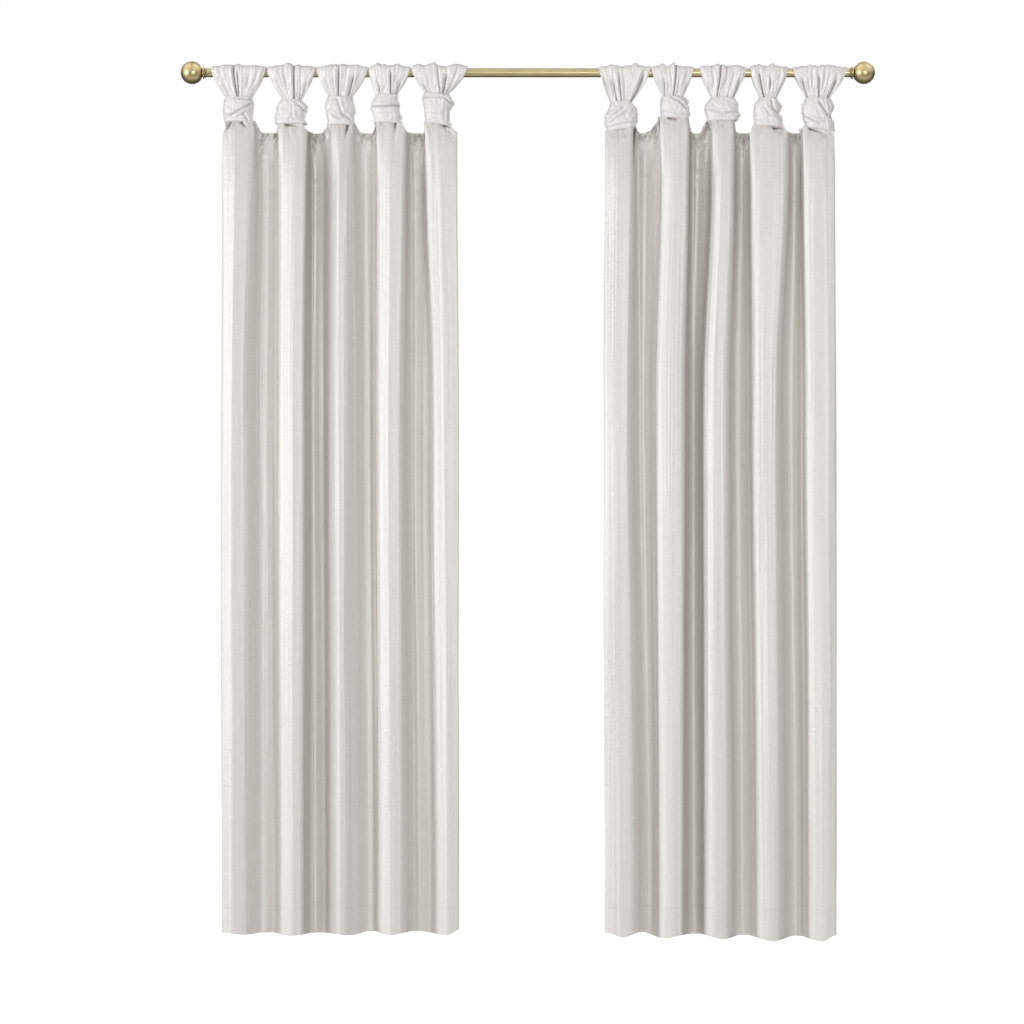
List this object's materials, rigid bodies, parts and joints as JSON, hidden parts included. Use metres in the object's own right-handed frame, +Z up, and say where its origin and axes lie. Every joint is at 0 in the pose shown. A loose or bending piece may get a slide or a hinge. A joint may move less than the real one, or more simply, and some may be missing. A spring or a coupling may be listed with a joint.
{
  "type": "pair of blackout curtains on a rod",
  "caption": "Pale satin blackout curtain pair hung in pipe folds by knotted tabs from one slim brass rod with ball finials.",
  "frame": {"origin": "on the rod's axis, half way between the finials", "axes": "+Z up, +X along the rod to the viewer's right, +Y away from the viewer towards the wall"},
  "size_m": [1.705, 0.082, 2.1565],
  "materials": {
    "brass": "satin, lightly aged",
    "panel_cloth": "silvery white satin with fine slubs",
    "tab_cloth": "silvery white satin, pleated",
    "knot_cloth": "silvery white satin, creased"
  },
  "bodies": {
    "root": {"rod": "brass", "finial_left": "brass", "finial_right": "brass", "panel_left": "panel_cloth", "tab_left_1": "tab_cloth", "knot_left_1": "knot_cloth", "tab_left_2": "tab_cloth", "knot_left_2": "knot_cloth", "tab_left_3": "tab_cloth", "knot_left_3": "knot_cloth", "tab_left_4": "tab_cloth", "knot_left_4": "knot_cloth", "tab_left_5": "tab_cloth", "knot_left_5": "knot_cloth", "panel_right": "panel_cloth", "tab_right_1": "tab_cloth", "knot_right_1": "knot_cloth", "tab_right_2": "tab_cloth", "knot_right_2": "knot_cloth", "tab_right_3": "tab_cloth", "knot_right_3": "knot_cloth", "tab_right_4": "tab_cloth", "knot_right_4": "knot_cloth", "tab_right_5": "tab_cloth", "knot_right_5": "knot_cloth"}
  },
  "joints": []
}
